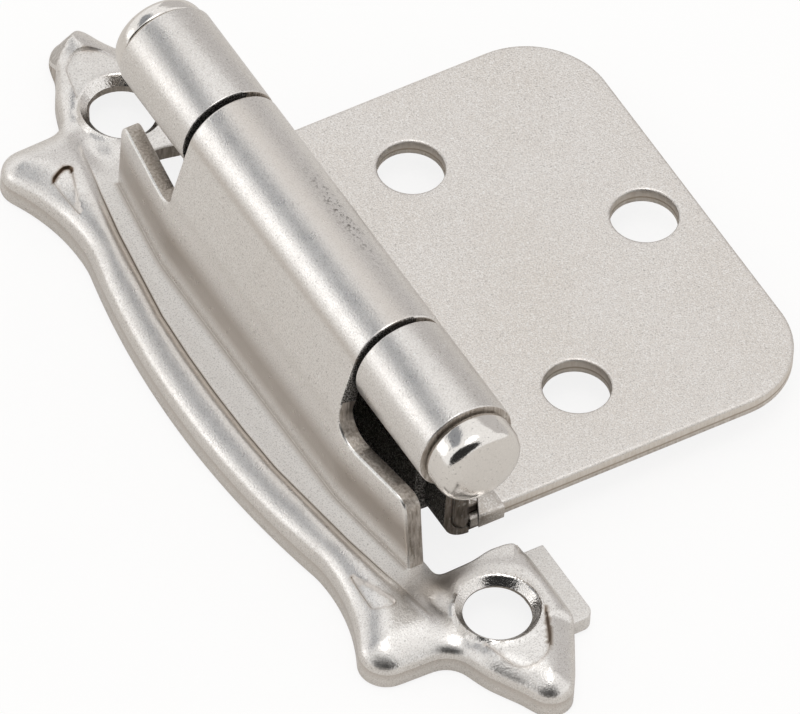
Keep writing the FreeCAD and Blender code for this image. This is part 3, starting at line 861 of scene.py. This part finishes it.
# Where the leaning plate touches the knuckle, and the angle it leans at.
over, rise = AXIS_X - WALL_X, AXIS_H - LEAN_H
reach = math.sqrt(over ** 2 + rise ** 2 - OUT_R ** 2)
turn = math.atan2(rise, over) + math.atan2(OUT_R, reach)
touch = (WALL_X + reach * math.cos(turn), LEAN_H + reach * math.sin(turn))
folded = rounded_path([(WALL_X, FOLD_H), (WALL_X, LEAN_H), touch], [LEAN_R])
start = math.atan2(touch[1] - AXIS_H, touch[0] - AXIS_X)
around = np.arange(start, start - math.radians(ROLLED), -math.radians(3))[1:]
rolled = np.column_stack([AXIS_X + OUT_R * np.cos(around),
                          AXIS_H + OUT_R * np.sin(around)])
frame_bend = Bend(np.vstack([folded, rolled]), outward_left=True)
fold_end = np.hypot(*np.diff(folded, axis=0).T).sum()
top, end = WALL_TOP - FOLD_H, frame_bend.length
frame_path = [
    (end, MID_HALF), (top + 1.6, MID_HALF), (top, MID_HALF + 1.6, 1.6, False),
    (top, WALL_END - 1.0), (top - 1.0, WALL_END, 1.0, True), (0.0, WALL_END),
    (0.0, -WALL_END), (top - 1.3, 0.75 - WALL_END), (top, 1.9 - WALL_END, 1.2, True),
    (top, -MID_HALF - 2.2), (top + 2.2, -MID_HALF, 2.2, False), (end, -MID_HALF),
]
frame_blank = loop_steps(frame_path, 0.2)
keep = (frame_blank[:, 0] < 0.5) | (frame_blank[:, 0] > end - 0.5)
frame_blank = softened(frame_blank, 4, keep)


def run_in(flat):
    return wall_x(flat[:, 1]) - WALL_X


def painted_wall_shade(flat):
    """Painted shade: a brown band low on the wall, where it stands over the strip, a
    soft dark line where the plate runs into the knuckle, and a brown band along its
    top."""
    h = flat[:, 0] + FOLD_H
    low = 0.50 * smoothstep(3.6, 5.0, h) * (1 - smoothstep(6.3, 8.2, h))
    past_fold = flat[:, 0] - fold_end
    from_top = np.degrees(past_fold / OUT_R) - 76.5
    return low + 0.30 * bell(past_fold - 0.45, 0.32) + 0.30 * bell(from_top + 3, 17)


def paint_gap_shade(piece, low, high):
    """Paints shade, with the near-black metal, on the cut ends inside the gaps between
    the knuckles.
    """
    give_metal(piece, 2, lambda x, y, h, normal: (
        abs(normal.y) > 0.6 and x < 0.9 and h > 12.0 and low < abs(y) < high))


knuckle = bent_sheet("folded_wall", frame_bend, frame_blank, [], 0.36,
                     [leaf_metal, edge_metal, painted_shade_metal], run_in, painted_wall_shade)
spot = np.empty(len(knuckle.data.vertices) * 3)
knuckle.data.vertices.foreach_get("co", spot)
x, y, h = (spot.reshape(-1, 3) / MM).T
h = h - FACE_Z / MM
pitted = bell(x - 1.25, 0.55) * bell(y + 0.8, 4.2)
mark(knuckle, "pitting", np.where(h > AXIS_H + 2.0, pitted, 0))
# Painted light: the wall is made paler near its top and at its foot.
upright = (x < WALL_X + 1.2) & (h < 11.4)
lightened = 0.8 * bell(h - 9.2, 1.1) + 0.5 * (1 - smoothstep(3.4, 4.2, h))
mark(knuckle, "lightened", np.where(upright, lightened, 0))
paint_gap_shade(knuckle, MID_HALF - 0.3, MID_HALF + 0.1)

# %% The door wing and its riser
WING_TOP, WING_OUT, WING_HALF = 3.52, 31.3, 18.45
CORNER_R = 6.2                  # the wing's outer corners
RISER_X, RISER_TOP = 2.22, 12.3
WING_HOLE = 2.43                # radius of its screw holes
HOLE_PLACES = ((15.0, 11.55), (15.0, -11.55), (27.3, 0))    # inset, y
# The notches in the wing's sides, where the lugs of the spring plate come up.
NOTCH_FROM, NOTCH_TO, NOTCH_IN = 28.93, 26.63, 17.75

wing_side = rounded_path([(WING_OUT, WING_TOP), (RISER_X, WING_TOP),
                          (RISER_X, RISER_TOP)], [0.25], 0.08)
wing_bend = Bend(wing_side, outward_left=False)
wing_half = [(wing_bend.length, WING_HALF), (NOTCH_FROM, WING_HALF),
             (NOTCH_FROM, NOTCH_IN), (NOTCH_TO, NOTCH_IN), (NOTCH_TO, WING_HALF),
             (CORNER_R, WING_HALF), (0.0, WING_HALF - CORNER_R, CORNER_R, True)]
wing_holes = [circle_steps(WING_OUT - inset, y, WING_HOLE, 72)
              for inset, y in HOLE_PLACES]
wing = bent_sheet("wing_sheet", wing_bend, loop_steps(mirrored(wing_half), 0.25),
                  wing_holes, 0.5, [wing_metal, wing_edge, painted_shade_edge])
# The riser's cut ends, and the corners beside the lugs, stand in their shade.
give_metal(wing, 2, lambda x, y, h, normal: abs(x) < 3.6 and (
    abs(normal.y) > 0.6 or (abs(y) > 17.3 and abs(x) > 2.3 and normal.z > 0.5)))

# %% [markdown]
# ## Turned pieces
# The outer knuckles and the pin are round about the pin's line, so each is one side
# profile spun round it by a Screw modifier. The pin's head is a shallow dome with a
# tight shoulder; the far end is headed over a little flatter.

# %% Spinning a profile round the pin's line
SPIN_STEPS = 112


def turned(name, profile, materials, closed=True):
    """profile is a list of (radius, y) in millimetres."""
    points = [(r * MM, y * MM, 0) for r, y in profile]
    links = [(i, i + 1) for i in range(len(points) - 1)]
    if closed:
        links.append((len(points) - 1, 0))
    piece = new_object(name, points, links, [], materials)
    apply(piece, "SCREW", axis="Y", steps=SPIN_STEPS, render_steps=SPIN_STEPS,
          use_merge_vertices=True, merge_threshold=1e-6, use_smooth_shade=True)
    edit_mesh(piece, MERGE, FACE_OUT)
    piece.data.transform(Matrix.Translation((AXIS_X * MM, 0, AXIS_H * MM + FACE_Z)))
    return piece


def quarter(radius, y, size, facing):
    """A rounded shoulder at (radius, y), turning from the side to the end."""
    return [(radius - size + size * math.cos(a),
             y + facing * (size * math.sin(a) - size))
            for a in np.linspace(0, math.pi / 2, 6)]


def tube(name, low, high):
    """An outer knuckle, its outer edges rounded and its bore's edges eased."""
    profile = [(BORE_R, low + 0.02), (BORE_R, high - 0.02), (BORE_R + 0.1, high)]
    profile += quarter(OUT_R, high, 0.14, 1)[::-1]
    profile += quarter(OUT_R, low, 0.14, -1)
    profile += [(BORE_R + 0.1, low)]
    piece = turned(name, profile, [barrel_metal, edge_metal, painted_shade_metal])
    give_metal(piece, 1, lambda x, y, h, normal: (
        abs(normal.y) > 0.85 or math.hypot(x - AXIS_X, h - AXIS_H) < BORE_R + 0.2))
    paint_gap_shade(piece, OUTER_IN - 0.1, OUTER_IN + 0.3)
    return piece


def dome(radius, y, height, facing, shoulder, power):
    """From the centre of a dome out to its rim at (radius, y), in even steps, and
    down its shoulder. A higher power makes its top flatter."""
    a = np.linspace(0, math.pi / 2, 2000)
    r = radius * np.sin(a) ** (2 / power)
    out = height * np.abs(np.cos(a)) ** (2 / power)
    far = np.append(0, np.cumsum(np.hypot(np.diff(r), np.diff(out))))
    even = np.linspace(0, far[-1], 34)
    rows = list(zip(np.interp(even, far, r), y + facing * np.interp(even, far, out)))
    return rows + [(radius, y - facing * shoulder)]


outer_tubes = [tube("outer_knuckle_0", OUTER_IN, OUTER_END),
               tube("outer_knuckle_1", -OUTER_END, -OUTER_IN)]
PIN_R = 2.35
seat = OUTER_END + 0.08
under_head = seat + 0.04
head = dome(3.34, -(seat + 0.5), 2.2, -1, 0.30, 4.4)
tail = dome(3.5, seat + 0.3, 1.8, 1, 0.12, 2.8)
shank = [(3.16, -under_head), (PIN_R, -under_head), (PIN_R, under_head),
         (3.34, under_head)]
pin = turned("pin_with_domed_head", head + shank + tail[::-1], [head_metal],
             closed=False)

# %% [markdown]
# ## The spring plate
# Its two small lugs show where they are clinched over the wing's edges, and its arm
# shows dark in the notch of the wall. Its shape is already right in the packed
# model, so a copy of that is merged into one mesh and its edges get the small
# rounding of pressed spring steel.

# %% Round the spring plate's edges
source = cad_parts["closing_spring"]
spring = source.copy()
spring.data = source.data.copy()
spring.name = "spring_plate"
bpy.context.scene.collection.objects.link(spring)
spring.parent = None
for key in [k for k in spring.keys() if k.startswith("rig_")]:
    del spring[key]
edit_mesh(spring, MERGE,
          (bpy.ops.mesh.dissolve_limited, {"angle_limit": math.radians(0.5)}))
spring.data.materials.clear()
for material in (spring_metal, painted_shade_metal, painted_shade_edge):
    spring.data.materials.append(material)
# Painted shade: the arm's outer face and the ends of its fold are near black, and its
# other ends and those of the foot's near part are darkened.
for face in spring.data.polygons:
    x, y, _ = (abs(v) / MM for v in face.center)
    end = abs(face.normal.y) > 0.9
    if face.normal.x < -0.3 or (end and (x < 2.6 or y < 18.4)):
        hem = end and 15.0 < y < 16.2
        face.material_index = 1 if x < 3.0 and (hem or not end) else 2
ease_edges(spring, 0.10, 2, 40)
smooth(spring, 35)

# %% [markdown]
# ## Join, ride and replace
# Each real piece becomes one object again, rides on its own body and stands for the
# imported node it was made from.

# %% Join the parts of each sheet
def join(piece, others):
    only(piece)
    for other in others:
        other.select_set(True)
    bpy.ops.object.join()


join(leaf, [knuckle] + flanges)
join(wing, outer_tubes)
for piece, body, node, slot in (
        (leaf, "frame", "frame_leaf", "satin_nickel_leaf"),
        (pin, "frame", "hinge_pin", "bright_nickel_pin"),
        (wing, "wing", "door_wing", "satin_nickel_wing"),
        (spring, "wing", "closing_spring", "nickel_spring_steel")):
    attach(piece, body)
    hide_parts(node)

# %% [markdown]
# ## Floor, light and camera
# The photograph is a cut-out on white with soft light from above and from behind on
# the left. Metal shows what stands round it, so a few plain cards stand outside the
# picture: a dark one on the camera's side gives the dark streaks that read as metal.

# %% Floor and surroundings
SEEN_OWN = 0.80                 # share of the floor's white that is its own
CARD_FAR, LAMP_FAR = 1.2, 0.9   # distances in metres

bpy.ops.mesh.primitive_plane_add(size=6.0, location=(0, 0, FACE_Z - 0.0002))
floor = bpy.context.active_object
floor.name = "floor"
# Part of the white is its own to the camera, so the shadow on it stays faint.
n = Nodes(bpy.data.materials.new("floor_white"))
shader = n.fill(n.tree.nodes["Principled BSDF"], {
    "Base Color": (0.79, 0.765, 0.735), "Roughness": 0.9, "Specular IOR Level": 0.0})
seen = n.add("ShaderNodeLightPath").outputs["Is Camera Ray"]
glow = n.add("ShaderNodeEmission", {"Strength": 1.06})
blend = n.add("ShaderNodeMixShader", {0: n.math("MULTIPLY", seen, SEEN_OWN),
                                      1: shader.outputs[0], 2: glow.outputs[0]})
n.fill(n.tree.nodes["Material Output"], {"Surface": blend.outputs[0]})
floor.data.materials.append(n.owner)

# The sky is full white to look at and in reflections, and weaker as a light.
n = Nodes(bpy.data.worlds.new("studio"))
bpy.context.scene.world = n.owner
path = n.add("ShaderNodeLightPath")
seen = path.outputs["Is Camera Ray"]
for kind in ("Is Glossy Ray", "Is Transmission Ray"):
    seen = n.math("MAXIMUM", seen, path.outputs[kind])
n.fill(n.tree.nodes["Background"], {
    "Color": (1.0, 1.0, 1.0), "Strength": n.spread(seen, 0.0, 1.0, 0.75, 1.0)})


def direction(azimuth, elevation):
    """Outward from the hinge; azimuth 0 is along -y and turns towards +x."""
    a, e = math.radians(azimuth), math.radians(elevation)
    return Vector((math.sin(a) * math.cos(e), -math.cos(a) * math.cos(e),
                   math.sin(e)))


def card(name, azimuth, elevation, width, height, colour, disc=False):
    """A plain card facing the hinge, seen only in reflections."""
    if disc:
        bpy.ops.mesh.primitive_circle_add(vertices=64, radius=0.5, fill_type="NGON")
    else:
        bpy.ops.mesh.primitive_plane_add(size=1.0)
    piece = bpy.context.active_object
    piece.name = name
    out = direction(azimuth, elevation)
    turn = out.to_track_quat("Z", "Y").to_matrix().to_4x4()
    size = Matrix.Diagonal((width, height, 1, 1))
    piece.data.transform(Matrix.Translation(out * CARD_FAR) @ turn @ size)
    n = Nodes(bpy.data.materials.new(name))
    n.tree.nodes.remove(n.tree.nodes["Principled BSDF"])
    glow = n.add("ShaderNodeEmission", {"Color": colour})
    n.fill(n.tree.nodes["Material Output"], {"Surface": glow.outputs[0]})
    piece.data.materials.append(n.owner)
    piece.visible_camera = piece.visible_shadow = piece.visible_diffuse = False


def lamp(name, azimuth, elevation, size, watts):
    out = direction(azimuth, elevation)
    data = bpy.data.lights.new(name, "AREA")
    data.shape, data.size, data.energy = "DISK", size, watts
    thing = bpy.data.objects.new(name, data)
    thing.location = out * LAMP_FAR
    thing.rotation_mode = "QUATERNION"
    thing.rotation_quaternion = out.to_track_quat("Z", "Y")
    bpy.context.scene.collection.objects.link(thing)


card("dark_card_front", 325, 28, 2.30, 1.42, (0.03, 0.03, 0.03), disc=True)
card("grey_card_back_left", 220, 46, 0.95, 0.50, (0.31, 0.325, 0.35))
card("grey_card_back_right", 117, 18.5, 1.95, 1.12, (0.60, 0.585, 0.58))
lamp("overhead_softbox", 320, 80, 0.5, 1.3)
lamp("left_softbox", 236, 14, 0.36, 0.225)

# %% Camera at the photograph's angle
PICTURE_WIDTH = 800             # pixels
PX_PER_MM = 14.249              # at the hinge
SENSOR = 36.0                   # millimetres
DISTANCE = 2.35                 # far off, so that parallel edges stay so

right = Vector((0.8633, -0.50215, 0.05063)).normalized()
back = Vector((-0.36398, -0.54995, 0.75171)).normalized()
up = back.cross(right).normalized()
right = up.cross(back)
centre = right * 6.532 * MM + up * 1.881 * MM + Vector((0, 0, FACE_Z))
camera_data = bpy.data.cameras.new("camera")
camera_data.sensor_width = SENSOR
camera_data.lens = SENSOR * DISTANCE / (PICTURE_WIDTH / PX_PER_MM * MM)
camera_data.clip_start, camera_data.clip_end = 0.1, 50.0
camera = bpy.data.objects.new("camera", camera_data)
bpy.context.scene.collection.objects.link(camera)
turn = Matrix((right, up, back)).transposed().to_4x4()
camera.matrix_world = Matrix.Translation(centre + back * DISTANCE) @ turn
bpy.context.scene.camera = camera
bpy.context.scene.view_settings.view_transform = "Standard"
